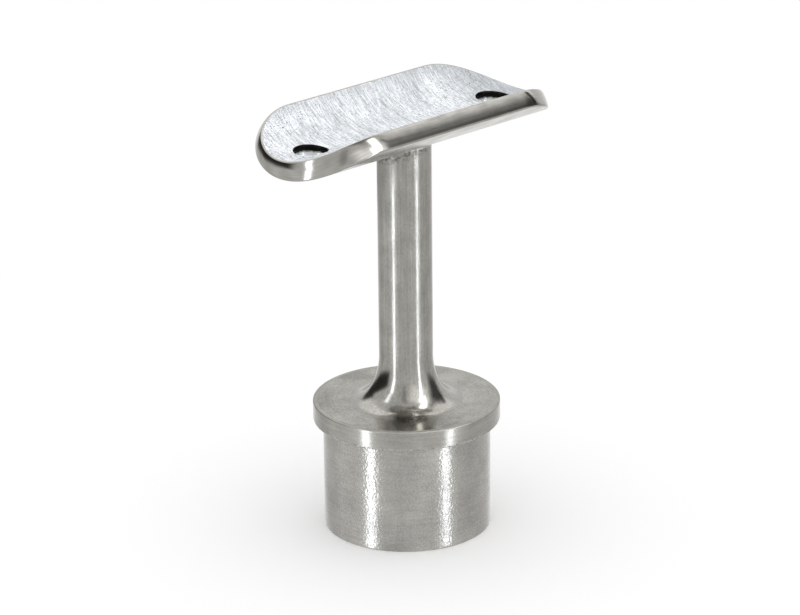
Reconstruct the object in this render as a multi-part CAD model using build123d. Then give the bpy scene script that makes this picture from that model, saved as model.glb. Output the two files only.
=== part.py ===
from build123d import *

import os
from math import cos, pi, radians, sin, tan

# Handrail saddle for the top of a round balustrade post.
#
# One stainless investment casting: a hollow spigot that plugs into the post, a
# flange that seats on the post's end, a round stem that flares into the flange,
# and a trough-shaped plate that carries the rail and has two screw holes.
#
# Millimetres. +Z is up along the post, +X runs along the rail, and the origin is
# on the post's axis at the seat, where the flange meets the end of the post.

# What the saddle mates with
post_dia = 42.4
post_wall = 2.0
rail_dia = 42.4
spigot_clearance = 0.25
rail_clearance = 0.2

# Spigot, a cup that opens downwards inside the post
spigot_length = 25.4
spigot_wall = 3.2
spigot_roof = 5.6
bore_draft_deg = 1.0
bore_fillet = 1.8

# Flange, and the cove that sweeps up from it into the stem
flange_thickness = 4.5
cove_height = 10.8
cove_spread = 6.7

# Stem
stem_dia = 12.2
seat_to_rail = 69.5
stem_fillet = 1.1

# Saddle plate. Its outline is a slot with round ends, laid flat and then rolled
# about the rail, so its edges stand square to the plate all the way round.
plate_length = 74.4
plate_width = 33.0
plate_thickness = 4.4
end_segments = 6

# Screw holes in the plate, below the rail's axis
hole_dia = 7.6
hole_from_end = 9.4

# Broken edges: chamfers where the part is turned and where the plate is ground from
# below, and a rounded rim where hands and the rail meet the plate
turned_chamfer = 0.3
lower_rim_chamfer = 0.35
upper_rim_radius = 0.35

spigot_radius = post_dia / 2 - post_wall - spigot_clearance
flange_radius = post_dia / 2
stem_radius = stem_dia / 2
trough_radius = rail_dia / 2 + rail_clearance
under_radius = trough_radius + plate_thickness
trough_axis_z = seat_to_rail + trough_radius
end_radius = plate_width / 2
half_wrap = end_radius / trough_radius
hole_x = plate_length / 2 - hole_from_end


def turned_body():
    """Spigot, flange, cove and stem, as one profile turned about the post's axis.

    The stem runs on above the bottom of the trough, which trims it later.
    """
    foot_z = -spigot_length
    roof_z = flange_thickness - spigot_roof
    mouth_radius = spigot_radius - spigot_wall
    roof_radius = mouth_radius - (roof_z - foot_z) * tan(radians(bore_draft_deg))
    foot_of_cove = stem_radius + cove_spread
    top_of_cove = flange_thickness + cove_height
    stem_top = seat_to_rail + plate_thickness

    lower = Polyline(
        (0, roof_z),
        (roof_radius, roof_z),
        (mouth_radius, foot_z),
        (spigot_radius, foot_z),
        (spigot_radius, 0),
        (flange_radius, 0),
        (flange_radius, flange_thickness),
        (foot_of_cove, flange_thickness),
    )
    cove = EllipticalCenterArc(
        (foot_of_cove, top_of_cove), cove_spread, cove_height, start_angle=180, arc_size=90
    )
    upper = Polyline((stem_radius, top_of_cove), (stem_radius, stem_top), (0, stem_top), (0, roof_z))
    profile = make_face(Curve() + [lower, cove, upper])

    bore_corner = profile.vertices().sort_by_distance((roof_radius, roof_z))[0]
    profile = fillet(bore_corner, bore_fillet)
    spigot_rims = [
        profile.vertices().sort_by_distance((radius, foot_z))[0]
        for radius in (mouth_radius, spigot_radius)
    ]
    profile = chamfer(spigot_rims, turned_chamfer)
    flange_rims = [
        profile.vertices().sort_by_distance((flange_radius, z))[0] for z in (0, flange_thickness)
    ]
    profile = chamfer(flange_rims, turned_chamfer)
    return revolve(Plane.XZ * profile, Axis.Z)


def plate_end(depth, direction):
    """Round end of the plate's outline on the level plane at this depth below the axis.

    Laid flat it is a half circle. The curve starts and ends along the plate's sides.
    """
    points = []
    stations = []
    for i in range(end_segments + 1):
        station = i / end_segments
        turn = pi * (station - 0.5)
        x = plate_length / 2 - end_radius + end_radius * cos(turn)
        y = depth * tan(half_wrap * sin(turn))
        points.append(Vector(direction * x, direction * y))
        stations.append(station)
    leaving = Vector(direction * pi * end_radius, 0)
    return Edge.make_spline(points, tangents=[leaving, -leaving], parameters=stations, scale=False)


def outline_below_axis(depth):
    """Outline of the plate, where the lines square to its edge cross a level plane.

    Each such line runs from the trough's axis down through the edge, so the same
    outline is wider the deeper the plane lies below that axis.
    """
    straight_half = plate_length / 2 - end_radius
    side_y = depth * tan(half_wrap)
    outline = [
        plate_end(depth, 1),
        Line((straight_half, side_y), (-straight_half, side_y)),
        plate_end(depth, -1),
        Line((-straight_half, -side_y), (straight_half, -side_y)),
    ]
    return Pos(0, 0, trough_axis_z - depth) * make_face(Curve() + outline)


def rail_cylinder(radius):
    """A solid round bar along the rail's axis, longer than the plate."""
    return Pos(0, 0, trough_axis_z) * Cylinder(radius, 2 * plate_length, rotation=(0, -90, 0))


def plate_blank():
    """The plate with its trough still filled."""
    above_rims = trough_radius * cos(half_wrap) / 2
    below_plate = under_radius + plate_thickness
    wedge = loft([outline_below_axis(above_rims), outline_below_axis(below_plate)], ruled=True)
    return wedge & rail_cylinder(under_radius)


def rim_edges(body, z):
    """Outer edges of the plate's rolled face whose lowest line is at this height."""
    clear_of_stem = stem_radius + stem_fillet
    clear_of_hole = hole_x - hole_dia / 2
    on_face = Vector((clear_of_stem + clear_of_hole) / 2, 0, z)
    return body.faces().sort_by_distance(on_face)[0].outer_wire().edges()


def saddle_casting():
    """The whole casting: turned body and plate joined, then cut and broken."""
    turned = turned_body()
    blank = plate_blank()
    joined = turned + blank
    joined = fillet(new_edges(turned, blank, combined=joined), stem_fillet)

    drill = Cylinder(hole_dia / 2, 2 * under_radius)
    holes = [Pos(side * hole_x, 0, seat_to_rail) * drill for side in (-1, 1)]
    cut = joined - rail_cylinder(trough_radius) - holes

    cut = fillet(rim_edges(cut, seat_to_rail), upper_rim_radius)
    return chamfer(rim_edges(cut, seat_to_rail - plate_thickness), lower_rim_chamfer)


os.makedirs("parts", exist_ok=True)
casting = saddle_casting()
export_step(casting, "parts/saddle_casting.step")
print("saddle_casting", round(casting.volume, 1), "mm3", casting.bounding_box())
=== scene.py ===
import math

import bpy
from mathutils import Matrix, Vector
from mathutils.geometry import delaunay_2d_cdt


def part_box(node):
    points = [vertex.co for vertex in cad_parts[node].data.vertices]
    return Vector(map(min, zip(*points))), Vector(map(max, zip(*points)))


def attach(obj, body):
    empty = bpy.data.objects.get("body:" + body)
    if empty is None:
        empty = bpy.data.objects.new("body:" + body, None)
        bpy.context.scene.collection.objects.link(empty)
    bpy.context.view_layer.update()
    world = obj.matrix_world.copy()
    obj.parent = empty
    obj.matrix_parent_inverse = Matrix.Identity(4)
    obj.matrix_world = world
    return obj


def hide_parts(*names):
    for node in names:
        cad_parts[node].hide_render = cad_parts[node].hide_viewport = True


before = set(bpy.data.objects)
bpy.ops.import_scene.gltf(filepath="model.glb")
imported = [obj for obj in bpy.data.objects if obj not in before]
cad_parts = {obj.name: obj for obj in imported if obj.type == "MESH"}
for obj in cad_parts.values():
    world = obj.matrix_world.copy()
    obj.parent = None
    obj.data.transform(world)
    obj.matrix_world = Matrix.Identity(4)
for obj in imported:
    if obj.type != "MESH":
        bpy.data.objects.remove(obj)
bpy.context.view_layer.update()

# Looks for a stainless handrail saddle: one casting, finished a different way on each surface
nodeLow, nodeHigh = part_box("saddle_casting")
mm = 0.001  # metres in a millimetre
print("frame loaded")


def linearFromHex(text):
    # sRGB hex to the linear colour that the shaders take
    channels = [int(text[i:i + 2], 16) / 255 for i in (1, 3, 5)]
    linear = [c / 12.92 if c <= 0.04045 else ((c + 0.055) / 1.055) ** 2.4 for c in channels]
    return (*linear, 1.0)


def addNode(tree, kind, inputs=None, **settings):
    # one node with its settings; an input is a value or the socket that feeds it
    node = tree.nodes.new(kind)
    for name, value in settings.items():
        setattr(node, name, value)
    for key, value in (inputs or {}).items():
        if isinstance(value, bpy.types.NodeSocket):
            tree.links.new(value, node.inputs[key])
        else:
            node.inputs[key].default_value = value
    return node


def addObject(name, data):
    made = bpy.data.objects.new(name, data)
    bpy.context.scene.collection.objects.link(made)
    return made


# The casting's mesh

casting = {  # in millimetres
    "stemRadius": 6.1,
    "flangeThickness": 4.5,
    "spigotRadius": 18.95,
    "boreMouthRadius": 15.75,
    "boreRoofRadius": 15.33,
    "boreRoof": -1.1,  # height of the cup's roof
    "boreFillet": 1.8,
    "coveHeight": 10.8,
    "coveSpread": 6.7,
    "stemFillet": 1.1,
    "stemStop": 4,  # how far below the plate the turned rings end
    "troughRadius": 21.4,
    "seatToRail": 69.5,
    "plateThickness": 4.4,
    "plateWidth": 33.0,  # along the curve of the trough
    "holeRadius": 3.8,
    "holeFromEnd": 9.4,
    "turnedBreak": 0.3,  # rounding of the turned edges
    "rimBreak": 0.35,  # rounding of the plate's rims
    "holeBreak": 0.12,
    "edgeCrown": 0.24,  # how far belt grinding takes the plate's edge in at its rims
    "sheetSpacing": 0.75,  # between the points inside the plate's two sheets
    "sheetMargin": 0.45,  # from a sheet's rims to the first of those points
}
divisions = {  # of the mesh
    "turn": 192,  # around the post's axis
    "break": 5,  # over a turned edge
    "fillet": 8,  # from stem to plate
    "end": 96,  # around each round end of the plate
    "rim": 6,  # over each rim of the plate
    "edge": 8,  # down the plate's edge
    "hole": 72,
    "wall": 5,  # down a hole
}
footZ = nodeLow.z / mm
flangeRadius = nodeHigh.y / mm
plateHalf = nodeHigh.x / mm
underRadius = casting["troughRadius"] + casting["plateThickness"]
railAxisZ = casting["seatToRail"] + casting["troughRadius"]
endRadius = casting["plateWidth"] / 2
straightHalf = plateHalf - endRadius
holeX = plateHalf - casting["holeFromEnd"]

finishes = ["bore", "spigot", "flange", "flangeTop", "stem", "trough", "edge", "underside", "hole"]
points = []  # the mesh, in millimetres
faces = []
faceFinish = []


def addPoint(x, y, z):
    points.append((x, y, z))
    return len(points) - 1


def addFace(corners, finish):
    faces.append(corners)
    faceFinish.append(finishes.index(finish))


def bridge(first, second, finish):
    # quads between two closed loops of as many points each
    count = len(first)
    for i in range(count):
        j = (i + 1) % count
        addFace((first[i], first[j], second[j], second[i]), finish)


def arc(centreR, centreZ, radiusR, radiusZ, start, end, steps):
    # points of a profile along part of an ellipse, in degrees
    found = []
    for i in range(steps + 1):
        turn = math.radians(start + (end - start) * i / steps)
        found.append((centreR + radiusR * math.cos(turn), centreZ + radiusZ * math.sin(turn)))
    return found


def straight(start, end, steps):
    # points between two ends of a profile line, without the ends
    spans = [i / steps for i in range(1, steps)]
    return [(start[0] + (end[0] - start[0]) * s, start[1] + (end[1] - start[1]) * s) for s in spans]


def turnedProfile():
    # (radius, height, finish of the band that starts there), from the bore's roof to the stem;
    # the last number of each stretch is its steps
    c = casting
    b, f, turn = c["turnedBreak"], c["boreFillet"], divisions["break"]
    inner, mouth = c["boreRoofRadius"], c["boreMouthRadius"]
    spigot, stem = c["spigotRadius"], c["stemRadius"]
    roof, top, rim = c["boreRoof"], c["flangeThickness"], flangeRadius
    coveFoot = stem + c["coveSpread"]
    coveTop = top + c["coveHeight"]
    stemTop = railAxisZ - underRadius - c["stemStop"]
    stretches = [
        ("bore", straight((0, roof), (inner - f, roof), 12)),
        ("bore", arc(inner - f, roof - f, f, f, 90, 0, 10)),
        ("bore", straight((inner, roof - f), (mouth, footZ + b), 20)),
        ("bore", arc(mouth + b, footZ + b, b, b, 180, 270, turn)),
        ("spigot", straight((mouth + b, footZ), (spigot - b, footZ), 4)),
        ("spigot", arc(spigot - b, footZ + b, b, b, 270, 360, turn)),
        ("spigot", straight((spigot, footZ + b), (spigot, 0), 26)),
        ("spigot", [(spigot, 0)]),
        ("flange", straight((spigot, 0), (rim - b, 0), 3)),
        ("flange", arc(rim - b, b, b, b, 270, 360, turn)),
        ("flange", straight((rim, b), (rim, top - b), 5)),
        ("flange", arc(rim - b, top - b, b, b, 0, 90, turn)),
        ("flangeTop", straight((rim - b, top), (coveFoot, top), 12)),
        ("stem", arc(coveFoot, coveTop, c["coveSpread"], c["coveHeight"], 270, 180, 36)),
        ("stem", straight((stem, coveTop), (stem, stemTop), 40)),
    ]
    return [(r, z, finish) for finish, stretch in stretches for r, z in stretch]


def turnedRing(radius, z):
    steps = divisions["turn"]
    turns = [2 * math.pi * i / steps for i in range(steps)]
    return [addPoint(radius * math.cos(t), radius * math.sin(t), z) for t in turns]


def turnedBody():
    # the bands of the turned body; returns its last ring, near the top of the stem
    roof = addPoint(0, 0, casting["boreRoof"])
    last = None
    lastFinish = None
    for radius, z, finish in turnedProfile():
        ring = turnedRing(radius, z)
        if last is None:
            for i in range(len(ring)):
                addFace((roof, ring[i], ring[(i + 1) % len(ring)]), finish)
        else:
            bridge(last, ring, lastFinish)
        last = ring
        lastFinish = finish
    return last


def rolled(x, around, radius):
    # a point of the flat outline, rolled about the rail's axis; around is at the trough's radius
    turn = around / casting["troughRadius"]
    return addPoint(x, radius * math.sin(turn), railAxisZ - radius * math.cos(turn))


def stemToPlate(stemTop):
    # the fillet that a ball leaves between stem and plate; returns its ring on the plate, and
    # that ring laid flat
    ball = casting["stemFillet"]
    fromPost = casting["stemRadius"] + ball
    fromRail = underRadius + ball
    steps = divisions["fillet"]
    rings = [[] for _ in range(steps + 1)]
    flat = []
    for i in range(divisions["turn"]):
        turn = 2 * math.pi * i / divisions["turn"]
        centre = Vector((fromPost * math.cos(turn), fromPost * math.sin(turn), 0))
        centre.z = railAxisZ - math.sqrt(fromRail ** 2 - centre.y ** 2)
        toPost = Vector((-math.cos(turn), -math.sin(turn), 0))
        toRail = Vector((0, -centre.y, railAxisZ - centre.z)).normalized()
        sweep = toPost.angle(toRail)
        for k in range(steps + 1):
            share = k / steps
            a = math.sin((1 - share) * sweep) / math.sin(sweep)
            b = math.sin(share * sweep) / math.sin(sweep)
            rings[k].append(addPoint(*(centre + ball * (a * toPost + b * toRail))))
        around = casting["troughRadius"] * math.asin(centre.y / fromRail)
        flat.append((centre.x, around))
    bridge(stemTop, rings[0], "stem")
    for k in range(steps):
        bridge(rings[k], rings[k + 1], "underside")
    return rings[steps], flat


def slotOutline(inset):
    # the plate's flat outline, moved in by this much: (x, around)
    radius = endRadius - inset
    endSteps = divisions["end"]
    sideSteps = int(2 * straightHalf / casting["sheetSpacing"])
    found = []
    for side in (1, -1):
        for i in range(endSteps):
            turn = math.pi * (i / endSteps - 0.5)
            found.append((side * (straightHalf + radius * math.cos(turn)), side * radius * math.sin(turn)))
        for i in range(sideSteps):
            found.append((side * (straightHalf - 2 * straightHalf * i / sideSteps), side * radius))
    return found


def crownInset(radius):
    # how far the ground edge lies in from the flat outline, at this distance from the rail's axis
    middle = (casting["troughRadius"] + underRadius) / 2
    return casting["edgeCrown"] * ((radius - middle) / (casting["plateThickness"] / 2)) ** 2


def edgeSection():
    # (inset, radius) from the trough over the upper rim, down the edge and over the lower rim
    b = casting["rimBreak"]
    inner = casting["troughRadius"]
    turns = [math.radians(90 * i / divisions["rim"]) for i in range(divisions["rim"] + 1)]
    section = [(b * (1 - math.sin(turn)), inner + b * (1 - math.cos(turn))) for turn in turns]
    for i in range(1, divisions["edge"]):
        section.append((0, inner + b + (underRadius - inner - 2 * b) * i / divisions["edge"]))
    section += [(b * (1 - math.cos(turn)), underRadius - b * (1 - math.sin(turn))) for turn in turns]
    return [(inset + crownInset(radius), radius) for inset, radius in section]


def plateEdge():
    # the ground edge all round; returns the loops and flat outlines where it meets the two sheets
    loops = []
    for inset, radius in edgeSection():
        outline = slotOutline(inset)
        loops.append(([rolled(x, around, radius) for x, around in outline], outline))
    for upper, lower in zip(loops, loops[1:]):
        bridge(lower[0], upper[0], "edge")
    return loops[0], loops[-1]


def screwHole(side):
    # the wall of one drilled hole; returns its loops and flat outlines on the two sheets
    b = casting["holeBreak"]
    drill = casting["holeRadius"]
    trough = casting["troughRadius"]
    wall = divisions["wall"]
    rows = [(drill + b, trough), (drill, trough + b)]
    rows += [(drill, trough + casting["plateThickness"] * k / wall) for k in range(1, wall)]
    rows += [(drill, underRadius - b), (drill + b, underRadius)]
    loops = []
    for reach, radius in rows:
        flat = []
        for i in range(divisions["hole"]):
            turn = 2 * math.pi * i / divisions["hole"]
            around = trough * math.asin(reach * math.sin(turn) / radius)
            flat.append((side * holeX + reach * math.cos(turn), around))
        loops.append(([rolled(x, around, radius) for x, around in flat], flat))
    for upper, lower in zip(loops, loops[1:]):
        bridge(upper[0], lower[0], "hole")
    return loops[0], loops[-1]


def sheet(radius, outer, inner, finish, gaps):
    # one face of the plate, laid flat, filled with points between its loops, then rolled
    spacing = casting["sheetSpacing"]
    known = list(outer[0])
    flat = [Vector(p) for p in outer[1]]
    edges = [(i, (i + 1) % len(flat)) for i in range(len(flat))]
    for loop, outline in inner:
        start = len(flat)
        known += loop
        flat += [Vector(p) for p in outline]
        edges += [(start + i, start + (i + 1) % len(outline)) for i in range(len(outline))]

    def inside(x, around, margin):
        past = max(abs(x) - straightHalf, 0)
        if math.hypot(past, around) > endRadius - margin:
            return False
        y = radius * math.sin(around / casting["troughRadius"])
        return all(math.hypot(x - gapX, y) > gapRadius + margin for gapX, gapRadius in gaps)

    rowHeight = spacing * math.sqrt(0.75)  # of equal triangles
    rows = int(endRadius / rowHeight) + 1
    columns = int(plateHalf / spacing) + 1
    clearOfRim = edgeSection()[0][0] + casting["sheetMargin"]
    for row in range(-rows, rows + 1):
        for column in range(-columns, columns + 1):
            x = (column + 0.5 * (row % 2)) * spacing
            around = row * rowHeight
            if inside(x, around, clearOfRim):
                flat.append(Vector((x, around)))
                known.append(rolled(x, around, radius))
    joinWithin = 1e-6
    result = delaunay_2d_cdt(flat, edges, [], 0, joinWithin, True)
    places, triangles, sources = result[0], result[2], result[3]
    index = [known[source[0]] for source in sources]
    for triangle in triangles:
        middle = sum((places[i] for i in triangle), Vector((0, 0))) / 3
        if inside(middle.x, middle.y, 0):
            corners = [index[i] for i in triangle]
            addFace(corners if radius < underRadius else corners[::-1], finish)


def plate(filletRing, filletOutline):
    # the edge, the two holes, the trough and the underside
    upper, lower = plateEdge()
    right, left = screwHole(1), screwHole(-1)
    reach = casting["holeRadius"] + casting["holeBreak"] / 2
    holes = [(holeX, reach), (-holeX, reach)]
    sheet(casting["troughRadius"], upper, [right[0], left[0]], "trough", holes)
    stemGap = (0, casting["stemRadius"] + casting["stemFillet"] / 2)
    inner = [right[1], left[1], (filletRing, filletOutline)]
    sheet(underRadius, lower, inner, "underside", holes + [stemGap])


def castingMesh():
    ring, outline = stemToPlate(turnedBody())
    plate(ring, outline)
    mesh = bpy.data.meshes.new("saddle")
    mesh.from_pydata([Vector(p) * mm for p in points], [], faces)
    mesh.polygons.foreach_set("material_index", faceFinish)
    mesh.polygons.foreach_set("use_smooth", [True] * len(faces))
    mesh.validate()
    mesh.update()
    return addObject("saddle", mesh)


saddle = castingMesh()
print("casting mesh:", len(points), "points,", len(faces), "faces")


# Materials: AISI 304 stainless steel throughout, cast, then finished a different way on each surface.
# In each look, dark and light are the two ends of the tone, dull and bright are the roughness there,
# and toneFrom and toneTo are the noise values that reach those ends. A share is how much of that
# pattern goes into the tone or the relief. Other values are millimetres unless a note says otherwise.

def newMaterial(name):
    material = bpy.data.materials.new(name)
    material.use_nodes = True
    material.node_tree.nodes.clear()
    return material, material.node_tree


def objectPlace(tree):
    # object space in millimetres: x along the rail, z up the post
    place = addNode(tree, "ShaderNodeTexCoord")
    return addNode(tree, "ShaderNodeVectorMath", {0: place.outputs["Object"], "Scale": 1 / mm},
                   operation="SCALE").outputs["Vector"]


def turnedPlace(tree, drift):
    # distance from the post's axis and height, in millimetres, for lines that a lathe or a
    # belt leaves around the post; they drift slowly, so no line runs all the way unchanged
    place = objectPlace(tree)
    split = addNode(tree, "ShaderNodeSeparateXYZ", {0: place})
    flat = addNode(tree, "ShaderNodeCombineXYZ", {"X": split.outputs["X"], "Y": split.outputs["Y"]})
    reach = addNode(tree, "ShaderNodeVectorMath", {0: flat.outputs[0]}, operation="LENGTH")
    lines = addNode(tree, "ShaderNodeCombineXYZ", {"X": reach.outputs["Value"], "Z": split.outputs["Z"]})
    slow = addNode(tree, "ShaderNodeVectorMath", {0: place, "Scale": drift}, operation="SCALE")
    return addNode(tree, "ShaderNodeVectorMath", {0: lines.outputs[0], 1: slow.outputs[0]},
                   operation="ADD").outputs["Vector"]


def railPlace(tree):
    # the plate unrolled, in millimetres: along the rail, around it at the trough, and out from it
    split = addNode(tree, "ShaderNodeSeparateXYZ", {0: objectPlace(tree)})
    below = addNode(tree, "ShaderNodeMath", {0: railAxisZ, 1: split.outputs["Z"]},
                    operation="SUBTRACT")
    turn = addNode(tree, "ShaderNodeMath", {0: split.outputs["Y"], 1: below.outputs[0]},
                   operation="ARCTAN2")
    around = addNode(tree, "ShaderNodeMath", {0: turn.outputs[0], 1: casting["troughRadius"]},
                     operation="MULTIPLY")
    spoke = addNode(tree, "ShaderNodeCombineXYZ", {"X": split.outputs["Y"], "Y": below.outputs[0]})
    reach = addNode(tree, "ShaderNodeVectorMath", {0: spoke.outputs[0]}, operation="LENGTH")
    return addNode(tree, "ShaderNodeCombineXYZ", {
        "X": split.outputs["X"], "Y": around.outputs[0], "Z": reach.outputs["Value"]}).outputs[0]


def cloudyTone(tree, look, fine, cloud):
    # fine marks with slow clouds over them, spread over the whole tone
    mixed = addNode(tree, "ShaderNodeMix", {
        0: look["cloudShare"], 2: fine.outputs[0], 3: cloud.outputs[0]})
    return addNode(tree, "ShaderNodeMapRange", {
        "Value": mixed.outputs[0], "From Min": look["toneFrom"], "From Max": look["toneTo"]})


def steelShader(tree, look, tone, height, polish=None, haze=None):
    # tone runs from the darker and duller spots to the lighter and brighter ones; where there is
    # polish it takes the marks out, and where there is haze the reflections blur
    colour = addNode(tree, "ShaderNodeMix", {
        0: tone, 6: linearFromHex(look["dark"]), 7: linearFromHex(look["light"])},
        data_type="RGBA", clamp_factor=False)
    roughness = addNode(tree, "ShaderNodeMapRange", {
        "Value": tone, "To Min": look["dull"], "To Max": look["bright"]}, clamp=False)
    bump = addNode(tree, "ShaderNodeBump", {"Height": height, "Distance": look["relief"] * mm})
    if polish:
        roughness = addNode(tree, "ShaderNodeMix", {
            0: polish, 2: roughness.outputs[0], 3: look["polished"]})
        marks = addNode(tree, "ShaderNodeMath", {0: 1.0, 1: polish}, operation="SUBTRACT")
        tree.links.new(marks.outputs[0], bump.inputs["Strength"])
    if haze:
        roughness = addNode(tree, "ShaderNodeMix", {
            0: haze, 2: roughness.outputs[0], 3: look["hazed"]})
    shader = addNode(tree, "ShaderNodeBsdfPrincipled", {
        "Base Color": colour.outputs[2], "Metallic": 1.0, "Roughness": roughness.outputs[0],
        "Normal": bump.outputs[0], "Anisotropic": look.get("anisotropy", 0.0)})
    addNode(tree, "ShaderNodeOutputMaterial", {"Surface": shader.outputs[0]})
    return shader


spigotLook = {
    "name": "stainlessCastSkimmed",
    "dark": "#868480",
    "light": "#BBB9B3",
    "dull": 0.25,
    "bright": 0.16,
    "relief": 0.06,
    "sparkle": 0.55,  # between the bumps that break up the reflections
    "grain": 0.36,  # the real grit is 0.1 mm, too fine to show, so it is drawn coarser
    "grainShare": 0.65,
    "cloud": 7,
    "cloudShare": 0.35,
    "line": 0.4,  # between the tool's rings, drawn coarser than the real 0.1 mm
    "drift": 0.06,  # how fast the rings change along their way, 1 being as fast as across it
    "ringShare": 0.2,  # in the relief
    "rub": 0.9,  # across the rub marks, which run up and down
    "rubRatio": 0.08,  # their width over their length
    "rubShare": 0.3,
    "toneFrom": 0.32,
    "toneTo": 0.68,
}


def spigotFinish():
    # investment-cast skin skimmed on a lathe: fine sparkling grain, faint rings and rub marks
    look = spigotLook
    material, tree = newMaterial(look["name"])
    place = objectPlace(tree)
    grain = addNode(tree, "ShaderNodeTexNoise", {
        "Vector": place, "Scale": 1 / look["grain"], "Detail": 3.0, "Roughness": 0.6})
    cloud = addNode(tree, "ShaderNodeTexNoise", {
        "Vector": place, "Scale": 1 / look["cloud"], "Detail": 3.0})
    rings = addNode(tree, "ShaderNodeTexNoise", {
        "Vector": turnedPlace(tree, look["drift"]), "Scale": 1 / look["line"], "Detail": 2.0})
    upright = addNode(tree, "ShaderNodeVectorMath", {0: place, 1: (1.0, 1.0, look["rubRatio"])},
                      operation="MULTIPLY")
    rubbed = addNode(tree, "ShaderNodeTexNoise", {
        "Vector": upright.outputs[0], "Scale": 1 / look["rub"], "Detail": 3.0})
    lines = addNode(tree, "ShaderNodeMix", {
        0: look["rubShare"], 2: rings.outputs[0], 3: rubbed.outputs[0]})
    fine = addNode(tree, "ShaderNodeMix", {
        0: look["grainShare"], 2: lines.outputs[0], 3: grain.outputs[0]})
    tone = cloudyTone(tree, look, fine, cloud)
    sparkle = addNode(tree, "ShaderNodeTexNoise", {
        "Vector": place, "Scale": 1 / look["sparkle"], "Detail": 1.0})
    height = addNode(tree, "ShaderNodeMix", {
        0: look["ringShare"], 2: sparkle.outputs[0], 3: rings.outputs[0]})
    steelShader(tree, look, tone.outputs[0], height.outputs[0])
    return material


flangeLook = {
    "name": "stainlessTurnedBrushed",
    "dark": "#8A8882",
    "light": "#B1AFA9",
    "dull": 0.24,
    "bright": 0.17,
    "relief": 0.016,
    "line": 0.45,  # between the belt's lines, drawn coarser than the real 0.05 mm
    "drift": 0.05,
    "grain": 0.5,
    "grainShare": 0.4,
    "cloud": 5,
    "cloudShare": 0.35,
    "toneFrom": 0.3,
    "toneTo": 0.7,
    "roughRim": 0.6,  # height over which the lower rim is left rough
    "nick": 0.75,  # across the nicks of the lower rim
    "nickFrom": 0.4,  # noise values where a nick starts and where it is whole
    "nickFull": 0.6,
    "nickDark": -0.4,  # tone beside a nick and in it, beyond the two ends of the tone
    "nickLight": 1.6,
    "nickDepth": 4.0,  # times as deep as the belt's lines
    "dullRim": 0.32,  # height over which handling has dulled the upper rim
    "hazed": 0.55,  # roughness there
}


def flangeFinish():
    # turned, then belt-brushed around the post: level lines, and a nicked lower rim
    look = flangeLook
    material, tree = newMaterial(look["name"])
    place = objectPlace(tree)
    rings = addNode(tree, "ShaderNodeTexNoise", {
        "Vector": turnedPlace(tree, look["drift"]), "Scale": 1 / look["line"], "Detail": 3.0,
        "Roughness": 0.6})
    grain = addNode(tree, "ShaderNodeTexNoise", {
        "Vector": place, "Scale": 1 / look["grain"], "Detail": 2.0})
    cloud = addNode(tree, "ShaderNodeTexNoise", {
        "Vector": place, "Scale": 1 / look["cloud"], "Detail": 2.0})
    fine = addNode(tree, "ShaderNodeMix", {
        0: look["grainShare"], 2: rings.outputs[0], 3: grain.outputs[0]})
    brushed = cloudyTone(tree, look, fine, cloud)

    split = addNode(tree, "ShaderNodeSeparateXYZ", {0: place})
    lower = addNode(tree, "ShaderNodeMapRange", {
        "Value": split.outputs["Z"], "From Min": look["roughRim"], "From Max": 0.0})
    nicks = addNode(tree, "ShaderNodeTexNoise", {
        "Vector": place, "Scale": 1 / look["nick"], "Detail": 4.0, "Roughness": 0.7})
    nicked = addNode(tree, "ShaderNodeMapRange", {
        "Value": nicks.outputs[0], "From Min": look["nickFrom"], "From Max": look["nickFull"],
        "To Min": look["nickDark"], "To Max": look["nickLight"]})
    tone = addNode(tree, "ShaderNodeMix", {
        0: lower.outputs[0], 2: brushed.outputs[0], 3: nicked.outputs[0]})
    deep = addNode(tree, "ShaderNodeMath", {0: nicks.outputs[0], 1: look["nickDepth"]},
                   operation="MULTIPLY")
    height = addNode(tree, "ShaderNodeMix", {
        0: lower.outputs[0], 2: fine.outputs[0], 3: deep.outputs[0]})

    top = casting["flangeThickness"]
    upper = addNode(tree, "ShaderNodeMapRange", {
        "Value": split.outputs["Z"], "From Min": top - look["dullRim"],
        "From Max": top - look["dullRim"] / 2})
    steelShader(tree, look, tone.outputs[0], height.outputs[0], haze=upper.outputs[0])
    return material


flangeTopLook = {
    "name": "stainlessFacedBuffed",
    "dark": "#74726C",
    "light": "#AEACA5",
    "dull": 0.19,
    "bright": 0.12,
    "relief": 0.022,
    "line": 0.4,  # between the facing tool's rings, drawn coarser than the real 0.1 mm
    "drift": 0.05,
    "grain": 0.42,
    "grainShare": 0.7,
    "cloud": 8,
    "cloudShare": 0.5,
    "wave": 5,  # between the buffing wheel's waves
    "waveShare": 0.8,  # in the relief
    "toneFrom": 0.38,
    "toneTo": 0.62,
    "anisotropy": 0.2,  # how much the rings draw the reflections out
}


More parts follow.
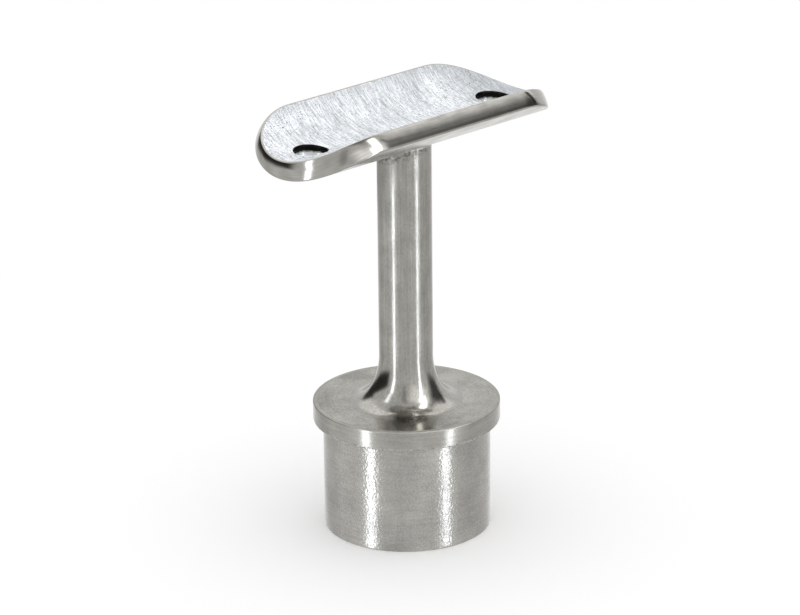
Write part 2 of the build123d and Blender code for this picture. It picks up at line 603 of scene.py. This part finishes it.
def flangeTopFinish():
    # faced on a lathe and buffed: faint rings that draw the reflections out
    look = flangeTopLook
    material, tree = newMaterial(look["name"])
    place = objectPlace(tree)
    rings = addNode(tree, "ShaderNodeTexNoise", {
        "Vector": turnedPlace(tree, look["drift"]), "Scale": 1 / look["line"], "Detail": 3.0,
        "Roughness": 0.6})
    cloud = addNode(tree, "ShaderNodeTexNoise", {
        "Vector": place, "Scale": 1 / look["cloud"], "Detail": 3.0})
    grain = addNode(tree, "ShaderNodeTexNoise", {
        "Vector": place, "Scale": 1 / look["grain"], "Detail": 3.0, "Roughness": 0.6})
    fine = addNode(tree, "ShaderNodeMix", {
        0: look["grainShare"], 2: rings.outputs[0], 3: grain.outputs[0]})
    tone = cloudyTone(tree, look, fine, cloud)
    wave = addNode(tree, "ShaderNodeTexNoise", {
        "Vector": place, "Scale": 1 / look["wave"], "Detail": 1.0})
    height = addNode(tree, "ShaderNodeMix", {
        0: look["waveShare"], 2: fine.outputs[0], 3: wave.outputs[0]})
    shader = steelShader(tree, look, tone.outputs[0], height.outputs[0])
    around = addNode(tree, "ShaderNodeTangent", direction_type="RADIAL", axis="Z")
    tree.links.new(around.outputs[0], shader.inputs["Tangent"])
    return material


castBand = {
    "reach": 1.6,  # how far the band reaches: cast skin in the corner between stem and plate that the belt couldn't follow, darkened with painted shade
    "fade": 1.2,
    "ragged": 2.0,  # how much farther its edge comes out in one place than in another
    "lean": 0.2,  # how much farther it comes down on the left of the stem, per millimetre
    "grain": 0.7,
    "spotFrom": 0.42,  # noise values of the dark and the light spots
    "spotTo": 0.62,
    "spotDark": -0.5,  # tone there, the dark one beyond the end of the tone
    "spotLight": 0.6,
    "depth": 3.0,  # times as deep as the marks around it
    "haze": 7.0,  # over which the belt's brightness sets in
    "hazeLean": 0.8,  # how much farther that is on the left of the stem, per millimetre
}


def addCastBand(tree, tone, height):
    # mottled cast skin, darker with painted shade and dull, in the corner between stem and plate;
    # gives the new tone and height, and how hazy it is just outside the band
    look = castBand
    place = objectPlace(tree)
    split = addNode(tree, "ShaderNodeSeparateXYZ", {0: place})
    flat = addNode(tree, "ShaderNodeCombineXYZ", {"X": split.outputs["X"], "Y": split.outputs["Y"]})
    outward = addNode(tree, "ShaderNodeVectorMath", {0: flat.outputs[0]}, operation="LENGTH")
    aside = addNode(tree, "ShaderNodeMath", {0: split.outputs["X"], 1: split.outputs["Y"]},
                    operation="SUBTRACT")
    corner = railAxisZ - underRadius - casting["stemRadius"]
    level = addNode(tree, "ShaderNodeMath", {0: outward.outputs["Value"], 1: split.outputs["Z"]},
                    operation="SUBTRACT")
    away = addNode(tree, "ShaderNodeMath", {0: level.outputs[0], 1: corner}, operation="ADD")
    far = addNode(tree, "ShaderNodeMath", {0: aside.outputs[0], 1: look["lean"], 2: away.outputs[0]},
                  operation="MULTIPLY_ADD")
    mottle = addNode(tree, "ShaderNodeTexNoise", {
        "Vector": place, "Scale": 1 / look["grain"], "Detail": 4.0, "Roughness": 0.65})
    ragged = addNode(tree, "ShaderNodeMath", {
        0: mottle.outputs[0], 1: look["ragged"], 2: far.outputs[0]}, operation="MULTIPLY_ADD")
    outside = look["reach"] + look["ragged"] / 2  # the mottle adds half of it on average
    band = addNode(tree, "ShaderNodeMapRange", {
        "Value": ragged.outputs[0], "From Min": outside + look["fade"], "From Max": outside})
    # the spots darken the band: painted shade in the corner, over the cast mottle
    spots = addNode(tree, "ShaderNodeMapRange", {
        "Value": mottle.outputs[0], "From Min": look["spotFrom"], "From Max": look["spotTo"],
        "To Min": look["spotDark"], "To Max": look["spotLight"]})
    tone = addNode(tree, "ShaderNodeMix", {0: band.outputs[0], 2: tone, 3: spots.outputs[0]})
    deep = addNode(tree, "ShaderNodeMath", {0: mottle.outputs[0], 1: look["depth"]},
                   operation="MULTIPLY")
    height = addNode(tree, "ShaderNodeMix", {0: band.outputs[0], 2: height, 3: deep.outputs[0]})
    leaning = addNode(tree, "ShaderNodeMath", {
        0: aside.outputs[0], 1: look["hazeLean"], 2: far.outputs[0]}, operation="MULTIPLY_ADD")
    haze = addNode(tree, "ShaderNodeMapRange", {
        "Value": leaning.outputs[0], "From Min": look["haze"], "From Max": 0.0})
    return tone.outputs[0], height.outputs[0], haze.outputs[0]


stemLook = {
    "name": "stainlessCastBrushed",
    "dark": "#83817B",
    "light": "#ABA9A3",
    "dull": 0.25,
    "bright": 0.18,
    "relief": 0.03,
    "line": 0.5,  # between the belt's lines, drawn coarser than the real 0.05 mm
    "lineRatio": 0.04,  # their width over their length
    "grain": 0.45,
    "grainShare": 0.4,
    "cloud": 6,
    "cloudShare": 0.4,
    "toneFrom": 0.33,
    "toneTo": 0.67,
    "hazed": 0.42,  # roughness beside the band of cast skin and painted shade
    "polished": 0.15,  # roughness in the cove
    "polishFrom": 19,  # height where the felt cone's polish fades in
    "polishFull": 12,
    "polishMost": 0.85,  # share of the way to the polished roughness
}


def stemFinish():
    # belt-brushed lengthwise, buffed with a felt cone down in the cove, and with a mottled
    # ring of cast skin, darkened with painted shade, under the plate
    look = stemLook
    material, tree = newMaterial(look["name"])
    place = objectPlace(tree)
    upright = addNode(tree, "ShaderNodeVectorMath", {0: place, 1: (1.0, 1.0, look["lineRatio"])},
                      operation="MULTIPLY")
    lines = addNode(tree, "ShaderNodeTexNoise", {
        "Vector": upright.outputs[0], "Scale": 1 / look["line"], "Detail": 3.0, "Roughness": 0.6})
    grain = addNode(tree, "ShaderNodeTexNoise", {
        "Vector": place, "Scale": 1 / look["grain"], "Detail": 2.0})
    cloud = addNode(tree, "ShaderNodeTexNoise", {
        "Vector": place, "Scale": 1 / look["cloud"], "Detail": 3.0})
    fine = addNode(tree, "ShaderNodeMix", {
        0: look["grainShare"], 2: lines.outputs[0], 3: grain.outputs[0]})
    brushed = cloudyTone(tree, look, fine, cloud)
    split = addNode(tree, "ShaderNodeSeparateXYZ", {0: place})
    polish = addNode(tree, "ShaderNodeMapRange", {
        "Value": split.outputs["Z"], "From Min": look["polishFrom"], "From Max": look["polishFull"],
        "To Max": look["polishMost"]}, interpolation_type="SMOOTHSTEP")
    tone, height, haze = addCastBand(tree, brushed.outputs[0], fine.outputs[0])
    steelShader(tree, look, tone, height, polish=polish.outputs[0], haze=haze)
    return material


troughLook = {
    "name": "stainlessPickledSanded",
    "dark": "#777C80",
    "light": "#F1F3F6",
    "dull": 0.6,
    "bright": 0.42,
    "relief": 0.16,
    "passes": ((14, 0.24), (2, 0.36)),  # degrees off straight across the rail, width of a mark
    "secondShare": 0.4,
    "markLength": 16,  # times as long as wide
    "cloud": 9,
    "cloudShare": 0.15,
    "speck": 0.38,
    "speckShare": 0.3,
    "toneFrom": 0.35,
    "toneTo": 0.58,
    "pitFrom": 0.2,  # noise values of the specks that are pits
    "pitTo": 0.26,
    "pitDrift": -0.25,  # how much the clouds move those two
    "greyFrom": 17,  # along the rail, where the right end starts to be greyer
    "greyFull": 34,
    "greyDrift": 8.0,  # how far the clouds move that start
    "grey": 0.42,  # how much of the tone it takes away
    "rimFrom": 12.5,  # around from the middle, where painted shade starts towards the trough's rims
    "rimFull": 16.5,
    "rimDrift": 5.0,
    "rimShade": 0.22,
}


def troughFinish():
    # pickled casting, pale and bluish, with marks of a sanding drum across it, small pits, and painted
    # shade towards its rims
    look = troughLook
    material, tree = newMaterial(look["name"])
    place = railPlace(tree)
    marks = []
    for lean, width in look["passes"]:
        turned = addNode(tree, "ShaderNodeMapping", {
            "Vector": place, "Rotation": (0, 0, -math.radians(lean)),
            "Scale": (1.0, look["markLength"], 1.0)}, vector_type="TEXTURE")
        marks.append(addNode(tree, "ShaderNodeTexNoise", {
            "Vector": turned.outputs[0], "Scale": 1 / width, "Detail": 3.0, "Roughness": 0.65}))
    sanded = addNode(tree, "ShaderNodeMix", {
        0: look["secondShare"], 2: marks[0].outputs[0], 3: marks[1].outputs[0]})
    cloud = addNode(tree, "ShaderNodeTexNoise", {
        "Vector": place, "Scale": 1 / look["cloud"], "Detail": 3.0})
    specks = addNode(tree, "ShaderNodeTexNoise", {
        "Vector": place, "Scale": 1 / look["speck"], "Detail": 3.0, "Roughness": 0.7})
    fine = addNode(tree, "ShaderNodeMix", {
        0: look["speckShare"], 2: sanded.outputs[0], 3: specks.outputs[0]})
    tone = cloudyTone(tree, look, fine, cloud)
    speckled = addNode(tree, "ShaderNodeMath", {
        0: cloud.outputs[0], 1: look["pitDrift"], 2: specks.outputs[0]}, operation="MULTIPLY_ADD")
    clean = addNode(tree, "ShaderNodeMapRange", {
        "Value": speckled.outputs[0], "From Min": look["pitFrom"], "From Max": look["pitTo"]})
    pitted = addNode(tree, "ShaderNodeMath", {0: tone.outputs[0], 1: clean.outputs[0]},
                     operation="MULTIPLY")

    # a drift adds half of itself on average, so the limits move out by that
    split = addNode(tree, "ShaderNodeSeparateXYZ", {0: place})
    along = addNode(tree, "ShaderNodeMath", {
        0: cloud.outputs[0], 1: look["greyDrift"], 2: split.outputs["X"]}, operation="MULTIPLY_ADD")
    half = look["greyDrift"] / 2
    rightEnd = addNode(tree, "ShaderNodeMapRange", {
        "Value": along.outputs[0], "From Min": look["greyFrom"] + half,
        "From Max": look["greyFull"] + half, "To Min": 1.0, "To Max": 1 - look["grey"]},
        interpolation_type="SMOOTHSTEP")
    # painted shade towards the trough's two rims
    aside = addNode(tree, "ShaderNodeMath", {0: split.outputs["Y"]}, operation="ABSOLUTE")
    ragged = addNode(tree, "ShaderNodeMath", {
        0: specks.outputs[0], 1: look["rimDrift"], 2: aside.outputs[0]}, operation="MULTIPLY_ADD")
    half = look["rimDrift"] / 2
    sides = addNode(tree, "ShaderNodeMapRange", {
        "Value": ragged.outputs[0], "From Min": look["rimFrom"] + half,
        "From Max": look["rimFull"] + half, "To Min": 1.0, "To Max": 1 - look["rimShade"]},
        interpolation_type="SMOOTHSTEP")
    grey = addNode(tree, "ShaderNodeMath", {0: rightEnd.outputs[0], 1: sides.outputs[0]},
                   operation="MULTIPLY")
    tone = addNode(tree, "ShaderNodeMath", {0: pitted.outputs[0], 1: grey.outputs[0]},
                   operation="MULTIPLY")
    steelShader(tree, look, tone.outputs[0], fine.outputs[0])
    return material


edgeLook = {
    "name": "stainlessGroundBuffed",
    "dark": "#918F89",
    "light": "#ACAAA5",
    "dull": 0.15,
    "bright": 0.1,
    "relief": 0.012,
    "line": 0.45,  # between the belt's lines, drawn coarser than the real 0.05 mm
    "lineRatio": 0.12,
    "wave": 3,  # between the slack belt's waves
    "cloudShare": 0.5,  # of the waves in the tone
    "waveShare": 0.75,  # and in the relief
    "toneFrom": 0.3,
    "toneTo": 0.7,
}


def edgeFinish():
    # ground on a slack belt and buffed: nearly a mirror, gently wavy, with lines along the edge
    look = edgeLook
    material, tree = newMaterial(look["name"])
    place = railPlace(tree)
    ratio = look["lineRatio"]
    along = addNode(tree, "ShaderNodeVectorMath", {0: place, 1: (ratio, ratio, 1.0)},
                    operation="MULTIPLY")
    lines = addNode(tree, "ShaderNodeTexNoise", {
        "Vector": along.outputs[0], "Scale": 1 / look["line"], "Detail": 3.0})
    wave = addNode(tree, "ShaderNodeTexNoise", {
        "Vector": place, "Scale": 1 / look["wave"], "Detail": 1.0})
    tone = cloudyTone(tree, look, lines, wave)
    height = addNode(tree, "ShaderNodeMix", {
        0: look["waveShare"], 2: lines.outputs[0], 3: wave.outputs[0]})
    steelShader(tree, look, tone.outputs[0], height.outputs[0])
    return material


undersideLook = {
    "name": "stainlessBeltBrushed",
    "dark": "#A6A49F",
    "light": "#D6D5D1",
    "dull": 0.32,
    "bright": 0.22,
    "relief": 0.03,
    "line": 0.5,  # between the belt's lines, drawn coarser than the real 0.05 mm
    "lineRatio": 0.08,
    "cloud": 6,
    "cloudShare": 0.4,
    "toneFrom": 0.3,
    "toneTo": 0.7,
    "hazed": 0.42,
}


def undersideFinish():
    # belt-brushed along the rail, with cast skin and painted shade around the top of the stem
    look = undersideLook
    material, tree = newMaterial(look["name"])
    place = railPlace(tree)
    along = addNode(tree, "ShaderNodeVectorMath", {0: place, 1: (look["lineRatio"], 1.0, 1.0)},
                    operation="MULTIPLY")
    lines = addNode(tree, "ShaderNodeTexNoise", {
        "Vector": along.outputs[0], "Scale": 1 / look["line"], "Detail": 3.0})
    cloud = addNode(tree, "ShaderNodeTexNoise", {
        "Vector": place, "Scale": 1 / look["cloud"], "Detail": 3.0})
    brushed = cloudyTone(tree, look, lines, cloud)
    tone, height, haze = addCastBand(tree, brushed.outputs[0], lines.outputs[0])
    steelShader(tree, look, tone, height, haze=haze)
    return material


holeLook = {
    "name": "stainlessDrilled",
    # the dark end is painted shade in the top of the hole
    "dark": "#1C1B19",
    "light": "#DADCDC",
    "dull": 0.35,
    "bright": 0.25,
    "relief": 0.03,
    "cut": 0.7,  # between the drill's marks, drawn coarser than the real 0.1 mm
    "shadeDepth": 1.3,  # how deep the painted shade reaches down from the trough
    "shadeFade": 0.5,
    "ragged": 0.8,  # how much deeper it reaches in one place than in another
}


def holeFinish():
    # drilled after casting: painted shade near the trough, clean metal below
    look = holeLook
    material, tree = newMaterial(look["name"])
    place = railPlace(tree)
    split = addNode(tree, "ShaderNodeSeparateXYZ", {0: place})
    cut = addNode(tree, "ShaderNodeTexNoise", {
        "Vector": place, "Scale": 1 / look["cut"], "Detail": 3.0})
    ragged = addNode(tree, "ShaderNodeMath", {
        0: cut.outputs[0], 1: look["ragged"], 2: split.outputs["Z"]}, operation="MULTIPLY_ADD")
    deep = casting["troughRadius"] + look["shadeDepth"] + look["ragged"] / 2
    tone = addNode(tree, "ShaderNodeMapRange", {
        "Value": ragged.outputs[0], "From Min": deep, "From Max": deep + look["shadeFade"]})
    steelShader(tree, look, tone.outputs[0], cut.outputs[0])
    return material


boreLook = {
    "name": "stainlessAsCast",
    "dark": "#6E6C68",
    "light": "#96948F",
    "dull": 0.6,
    "bright": 0.45,
    "relief": 0.15,
    "grain": 0.8,  # between the bumps that the ceramic mould leaves, coarser than the real 0.3 mm
    "toneFrom": 0.3,
    "toneTo": 0.7,
}


def boreFinish():
    # left as cast: dull and finely bumpy
    look = boreLook
    material, tree = newMaterial(look["name"])
    grain = addNode(tree, "ShaderNodeTexNoise", {
        "Vector": objectPlace(tree), "Scale": 1 / look["grain"], "Detail": 4.0, "Roughness": 0.6})
    tone = addNode(tree, "ShaderNodeMapRange", {
        "Value": grain.outputs[0], "From Min": look["toneFrom"], "From Max": look["toneTo"]})
    steelShader(tree, look, tone.outputs[0], grain.outputs[0])
    return material


finishMakers = {
    "bore": boreFinish,
    "spigot": spigotFinish,
    "flange": flangeFinish,
    "flangeTop": flangeTopFinish,
    "stem": stemFinish,
    "trough": troughFinish,
    "edge": edgeFinish,
    "underside": undersideFinish,
    "hole": holeFinish,
}
for finish in finishes:
    saddle.data.materials.append(finishMakers[finish]())

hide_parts("saddle_casting")
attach(saddle, "root")
print("materials assigned")


# Camera, fitted to the photo's outlines

camera = {
    "azimuth": -43.65,  # degrees, 0 looks along +Y
    "elevation": 20.27,  # degrees, of the optical axis above the horizon
    "roll": -0.6,  # degrees
    "lens": 165.5,  # millimetres
    "sensor": 36,  # millimetres across
    "distance": 834.65,  # millimetres along the axis from the origin to the lens
    "originRight": 1.26,  # millimetres, where the origin lies beside the axis
    "originUp": -24.58,
}


def axesFacing(azimuth, elevation):
    # sideways, upward and outward axes of what faces the object from this direction, in degrees
    a = math.radians(azimuth)
    e = math.radians(elevation)
    outward = Vector((math.sin(a) * math.cos(e), -math.cos(a) * math.cos(e), math.sin(e)))
    aside = Vector((math.cos(a), math.sin(a), 0))
    return aside, outward.cross(aside), outward


def makeCamera():
    right, up, back = axesFacing(camera["azimuth"], camera["elevation"])
    roll = math.radians(camera["roll"])
    place = back * camera["distance"] - right * camera["originRight"] - up * camera["originUp"]
    turnedRight = right * math.cos(roll) + up * math.sin(roll)
    turnedUp = up * math.cos(roll) - right * math.sin(roll)
    axes = Matrix((turnedRight, turnedUp, back)).transposed().to_4x4()
    data = bpy.data.cameras.new("camera")
    data.lens = camera["lens"]
    data.sensor_width = camera["sensor"]
    data.sensor_fit = "HORIZONTAL"
    seen = addObject("camera", data)
    seen.matrix_world = Matrix.Translation(place * mm) @ axes
    bpy.context.scene.camera = seen


makeCamera()
print("camera placed")


# Studio: a white surround, strip lights and flags, and a floor

studio = {
    "aim": 0.025,  # metres, height of the point that the panels face
    "ambient": 1.1,  # what the surround gives the floor
    "floorColour": "#FAFAFA",
    "floorHalf": 2.5,  # metres, half the floor's width
    "fadeFrom": 0.05,  # metres from the post's axis, where the floor fades into the white surround
    "fadeTo": 0.2,
}


def makeWorld():
    # plain white where the camera or a reflection looks, and soft light on everything else
    world = bpy.data.worlds.new("studio")
    world.use_nodes = True
    tree = world.node_tree
    tree.nodes.clear()
    path = addNode(tree, "ShaderNodeLightPath")
    direct = addNode(tree, "ShaderNodeMath", {
        0: path.outputs["Is Camera Ray"], 1: path.outputs["Is Glossy Ray"]}, operation="MAXIMUM")
    seen = addNode(tree, "ShaderNodeMath", {
        0: direct.outputs[0], 1: path.outputs["Is Transmission Ray"]}, operation="MAXIMUM")
    level = addNode(tree, "ShaderNodeMapRange", {
        "Value": seen.outputs[0], "To Min": studio["ambient"], "To Max": 1.0})
    background = addNode(tree, "ShaderNodeBackground", {
        "Color": (1, 1, 1, 1), "Strength": level.outputs[0]})
    addNode(tree, "ShaderNodeOutputWorld", {"Surface": background.outputs[0]})
    bpy.context.scene.world = world


# at is how far to the camera's right and how high a panel's middle stands, size its width and
# height, and lean how far its top tips to the left, all in degrees; soft is the share of the half
# width that fades out, reach the distance in metres, and a strength under 1 makes a flag that
# takes light away
panelDefaults = {"lean": 0, "soft": 0.4, "reach": 0.85, "colour": "#FFFFFF"}
tube = "#F1F6FF"  # the strips' tubes are a little cooler than the boxes
panels = {
    "leftStripLow": {"at": (-50, -18), "size": (9, 44), "lean": -9, "strength": 5.6, "colour": tube},
    "leftStripMid": {"at": (-49, 14), "size": (9, 34), "lean": 12, "strength": 6.0, "colour": tube},
    "leftStripTop": {"at": (-65, 38), "size": (9, 34), "lean": 42, "strength": 4.0, "colour": tube},
    "rightStripLow": {"at": (53, -14), "size": (8, 44), "lean": 4, "strength": 5.6, "colour": tube},
    "rightStripTop": {"at": (52, 28), "size": (10, 56), "strength": 6.0, "colour": tube},
    "topBox": {"at": (69, 53), "size": (15, 46), "lean": -22, "strength": 6.5, "reach": 0.87},
    "creamBox": {"at": (46, 36), "size": (72, 54), "soft": 0.6, "strength": 1.8, "reach": 0.9},
    "backBox": {"at": (180, 50), "size": (110, 50), "soft": 0.5, "strength": 1.6, "reach": 0.9},
    "ceiling": {"at": (0, 90), "size": (48, 48), "soft": 0.5, "strength": 0.35},
    "leftFlag": {"at": (-107, 4), "size": (92, 34), "soft": 0.45, "strength": 0.04, "reach": 0.95},
    "leftFlagFar": {"at": (-134, 9), "size": (38, 40), "soft": 0.5, "strength": 0.05, "reach": 0.96},
    "rightFlag": {"at": (106, 17), "size": (56, 70), "soft": 0.7, "strength": 0.1, "reach": 0.94},
    "rightDim": {"at": (110, -22), "size": (88, 44), "soft": 0.5, "strength": 0.82, "reach": 0.97},
    "leftDim": {"at": (-133, -22), "size": (50, 44), "soft": 0.5, "strength": 0.78, "reach": 0.98},
    "cornerFlag": {"at": (126, 27), "size": (9, 32), "lean": -35, "strength": 0.03, "reach": 0.87},
    "notchFlag": {"at": (99, 46), "size": (7, 26), "soft": 0.5, "strength": 0.35, "reach": 0.86},
    "frontFlag": {"at": (-7, 38), "size": (14, 66), "soft": 0.8, "strength": 0.55, "reach": 0.88},
    "frontDim": {"at": (-10, 0), "size": (60, 110), "soft": 0.7, "strength": 0.9, "reach": 1.0},
}


def panelMaterial(name, look, half):
    # light that fades out towards the panel's edges
    material, tree = newMaterial(name)
    place = addNode(tree, "ShaderNodeTexCoord")
    split = addNode(tree, "ShaderNodeSeparateXYZ", {0: place.outputs["Object"]})
    masks = []
    for axis in (0, 1):
        out = addNode(tree, "ShaderNodeMath", {0: split.outputs[axis]}, operation="ABSOLUTE")
        masks.append(addNode(tree, "ShaderNodeMapRange", {
            "Value": out.outputs[0], "From Min": half[axis],
            "From Max": half[axis] * (1 - look["soft"])}, interpolation_type="SMOOTHSTEP"))
    mask = addNode(tree, "ShaderNodeMath", {0: masks[0].outputs[0], 1: masks[1].outputs[0]},
                   operation="MULTIPLY")
    clear = addNode(tree, "ShaderNodeBsdfTransparent")
    light = addNode(tree, "ShaderNodeEmission", {
        "Color": linearFromHex(look["colour"]), "Strength": look["strength"]})
    mix = addNode(tree, "ShaderNodeMixShader", {
        0: mask.outputs[0], 1: clear.outputs[0], 2: light.outputs[0]})
    addNode(tree, "ShaderNodeOutputMaterial", {"Surface": mix.outputs[0]})
    return material


def makePanel(name, look):
    # a soft-edged light or flag that faces the object
    right, height = look["at"]
    aside, upward, away = axesFacing(camera["azimuth"] + right, height)
    lean = Matrix.Rotation(math.radians(look["lean"]), 3, "Z")
    axes = Matrix((aside, upward, away)).transposed() @ lean
    half = [look["reach"] * math.tan(math.radians(size / 2)) for size in look["size"]]
    mesh = bpy.data.meshes.new(name)
    corners = [(x * half[0], y * half[1], 0) for x, y in ((-1, 1), (1, 1), (1, -1), (-1, -1))]
    mesh.from_pydata(corners, [], [(0, 1, 2, 3)])
    mesh.materials.append(panelMaterial(name, look, half))
    made = addObject(name, mesh)
    centre = Vector((0, 0, studio["aim"]))
    made.matrix_world = Matrix.Translation(centre + away * look["reach"]) @ axes.to_4x4()
    made.visible_camera = False
    made.visible_diffuse = False  # so that the floor stays even


def floorMaterial():
    # matt near the part, fading into the white surround, and clear from below
    material, tree = newMaterial("floor")
    place = addNode(tree, "ShaderNodeTexCoord")
    reach = addNode(tree, "ShaderNodeVectorMath", {0: place.outputs["Object"]}, operation="LENGTH")
    far = addNode(tree, "ShaderNodeMapRange", {
        "Value": reach.outputs["Value"], "From Min": studio["fadeFrom"], "From Max": studio["fadeTo"]},
        interpolation_type="SMOOTHSTEP")
    matt = addNode(tree, "ShaderNodeBsdfDiffuse", {"Color": linearFromHex(studio["floorColour"])})
    white = addNode(tree, "ShaderNodeEmission", {"Color": (1, 1, 1, 1), "Strength": 1.0})
    top = addNode(tree, "ShaderNodeMixShader", {
        0: far.outputs[0], 1: matt.outputs[0], 2: white.outputs[0]})
    clear = addNode(tree, "ShaderNodeBsdfTransparent")
    side = addNode(tree, "ShaderNodeNewGeometry")
    whole = addNode(tree, "ShaderNodeMixShader", {
        0: side.outputs["Backfacing"], 1: top.outputs[0], 2: clear.outputs[0]})
    addNode(tree, "ShaderNodeOutputMaterial", {"Surface": whole.outputs[0]})
    return material


def makeFloor():
    size = studio["floorHalf"]
    mesh = bpy.data.meshes.new("floor")
    z = nodeLow.z
    corners = [(-size, -size, z), (size, -size, z), (size, size, z), (-size, size, z)]
    mesh.from_pydata(corners, [], [(0, 1, 2, 3)])
    mesh.update()
    mesh.materials.append(floorMaterial())
    floor = addObject("floor", mesh)
    # only the camera sees the floor: the metal reflects the white surround, and the strips run on below
    floor.visible_glossy = False
    floor.visible_shadow = False


makeWorld()
makeFloor()
for panelName, panelLook in panels.items():
    makePanel(panelName, {**panelDefaults, **panelLook})
print("studio set")

bpy.context.scene.view_settings.view_transform = "Standard"
